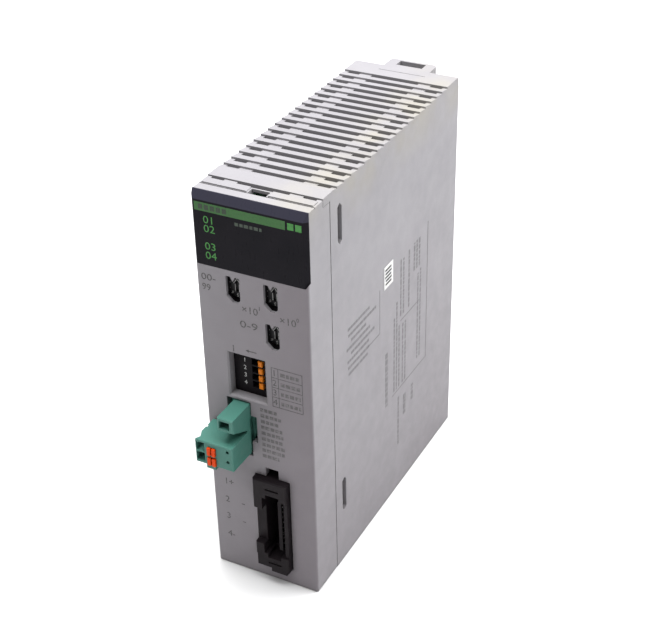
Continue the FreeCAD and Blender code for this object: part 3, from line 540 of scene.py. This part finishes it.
for text, height in (("1+", 33.0), ("2", 26.0), ("3", 19.5), ("4-", 12.5)):
    marks.numerals(text, -13.6, height - 1.1, 2.2)
marks.bar((-7.9, -6.9), (25.6, 25.9))
marks.bar((-7.9, -6.9), (18.6, 18.9))
marks.piece("front_print", INK_GREY, HOUSING)

# Upright lines of small print on the right side: depth, lowest and highest point, and width, in mm.
SIDE_COLUMNS = [
    (48.4, 38.5, 58.5, 1.6), (57.4, 17.5, 36.5, 0.9), (54.0, 40.5, 68.0, 0.8),
    (55.8, 40.5, 73.0, 0.8), (57.6, 40.5, 63.5, 0.8), (60.3, 40.5, 63.5, 0.8),
    (62.2, 40.5, 63.5, 0.8), (58.6, 66.5, 87.0, 0.8), (60.6, 66.5, 87.0, 0.8),
    (64.6, 66.5, 87.0, 0.9), (68.5, 77.6, 87.5, 1.0), (70.4, 77.6, 87.5, 1.0),
    (72.3, 77.6, 87.5, 1.0), (71.5, 43.0, 76.0, 0.8), (73.4, 43.0, 76.0, 0.8),
    (62.0, 27.0, 35.0, 1.8), (68.0, 29.0, 35.0, 1.6),
]
side = on_right()
for row in range(8):
    low = 81.5 - 2.2 * row
    side.words(rng, (21.5 + rng.uniform(0, 3.0), rng.uniform(33.0, 42.0)), low, 0.9, 2.2, 0.35)
for depth, low, high, width in SIDE_COLUMNS:
    side.column(rng, (low, high), depth, width)
side.piece("side_print", INK_SIDE, HOUSING)

side_lines = on_right()
side_lines.bar((78.4, 78.75), (39.4, 90.2))
side_lines.bar((52.7, 78.4), (39.4, 39.65))
side_lines.bar((58.5, 73.6), (64.6, 64.85))
side_lines.bar((43.4, 43.65), (68.5, 83.8))
side_lines.bar((34.6, 43.4), (68.5, 68.75))
side_lines.piece("side_print_lines", INK_LINE, HOUSING)

code = on_right(STICKER_OUT)
for row in range(5):
    low = 83.3 + 1.2 * row
    code.bar((46.9 + rng.uniform(0.0, 0.5), 51.2 + rng.uniform(0.0, 0.6)), (low, low + 0.72))
code.piece("sticker_bars", INK_BLACK, HOUSING)

DIALS = (("tens_dial", -6.05, 101.4), ("ones_dial", 5.7, 101.55), ("mode_dial", 5.75, 89.15))
DIGIT_RING = 2.8            # mm, radius of the ring of digits on a dial
DIGIT_STEP = 36.0           # degrees between two digits
for name, x, z in DIALS:    # x and z of the axis
    ring = on_front(DIAL_FACE)
    for digit in range(10):
        turn = -DIGIT_STEP * digit
        angle = math.radians(90 + turn)
        outward = Vector((math.cos(angle), math.sin(angle)))
        leftward = Vector((-math.sin(angle), math.cos(angle)))
        middle = Vector((x, z)) + outward * DIGIT_RING
        corner = middle - outward * 0.5 + leftward * 0.38
        ring.numerals(str(digit), corner.x, corner.y, 1.0, turn)
    for hand in (-1, 1):
        ring.line((x + hand * 0.62, z - 1.7), (x + hand * 0.62, z + 0.6), 0.16)
        ring.line((x + hand * 1.15, z + 0.75), (x + hand * 0.15, z + 2.15), 0.16)
    ring.piece(name + "_digits", INK_WHITE, name)

dip = on_front(SWITCH_FACE)
SWITCH_STEP = 2.54          # mm between two sliding switches
for index in range(4):
    middle = 73.15 + SWITCH_STEP * (1.5 - index)
    dip.numerals(str(index + 1), -6.1, middle - 0.7, 1.4)
dip.piece("dip_switch_digits", INK_WHITE, HOUSING)


# ---------------------------------------------------------------- floor, light and camera

def floor():
    """Pale matte floor that the object stands on."""
    f = Finish("floor_pale_paint")
    soft = f.spread(f.noise(60.0, 3.0), (0.35, 0.65), (0.0, 1.0))
    f.colour(f.tint(soft, srgb(222, 222, 222), srgb(219, 219, 220)))
    f.roughness(f.spread(f.noise(8.0), (0.3, 0.7), (0.75, 0.85)))
    f.bump([(f.noise(1.5), 0.01)])
    mesh = bpy.data.meshes.new("floor")
    reach = 4.0
    corners = [(-reach, -reach, 0), (reach, -reach, 0), (reach, reach, 0), (-reach, reach, 0)]
    mesh.from_pydata(corners, [], [(0, 1, 2, 3)])
    mesh.materials.append(f.material)
    made = bpy.data.objects.new("floor", mesh)
    bpy.context.scene.collection.objects.link(made)


def area_light(name, place, target, size, power):
    """White softbox at place that looks at target. size is in metres and power in watts."""
    light = bpy.data.lights.new(name, "AREA")
    light.shape = "RECTANGLE"
    light.size, light.size_y = size
    light.energy = power
    made = bpy.data.objects.new(name, light)
    made.location = place
    made.rotation_euler = (Vector(target) - Vector(place)).to_track_quat("-Z", "Y").to_euler()
    bpy.context.scene.collection.objects.link(made)


def surroundings(colour, strength):
    """Even light from all round."""
    world = bpy.data.worlds.new("studio_air")
    world.use_nodes = True
    background = world.node_tree.nodes["Background"]
    background.inputs["Color"].default_value = colour
    background.inputs["Strength"].default_value = strength
    bpy.context.scene.world = world


def camera(place, azimuth, elevation, roll, lens):
    """Camera at place, turned azimuth degrees left of +Y and elevation degrees down, then rolled.
    lens is its focal length in mm."""
    a, e, r = (math.radians(x) for x in (azimuth, elevation, roll))
    ahead = Vector((-math.sin(a) * math.cos(e), math.cos(a) * math.cos(e), -math.sin(e)))
    level = Vector((math.cos(a), math.sin(a), 0.0))
    above = level.cross(ahead)
    right = level * math.cos(r) + above * math.sin(r)
    up = above * math.cos(r) - level * math.sin(r)
    data = bpy.data.cameras.new("camera")
    data.lens = lens
    data.sensor_width = 36.0
    data.clip_start = 0.02
    data.clip_end = 20.0
    made = bpy.data.objects.new("camera", data)
    matrix = Matrix((right, up, -ahead)).transposed().to_4x4()
    matrix.translation = Vector(place)
    made.matrix_world = matrix
    bpy.context.scene.collection.objects.link(made)
    bpy.context.scene.camera = made


floor()
area_light("overhead_softbox", place=(0.05, 0.26, 1.3), target=(0.05, 0.26, 0.0),
           size=(2.0, 1.3), power=67.0)
area_light("front_left_softbox", place=(-0.4, -0.8, 1.15), target=(0.0, 0.0, 0.0),
           size=(0.9, 0.9), power=7.0)
area_light("right_softbox", place=(0.62, 0.4, 0.5), target=(0.0, 0.0, 0.1),
           size=(0.4, 0.4), power=4.0)
surroundings(colour=(1.0, 0.99, 1.0, 1.0), strength=0.22)
camera(place=(0.1679, -0.3227, 0.2935), azimuth=27.97, elevation=32.15, roll=-1.32, lens=75.31)
bpy.context.scene.view_settings.view_transform = "Standard"
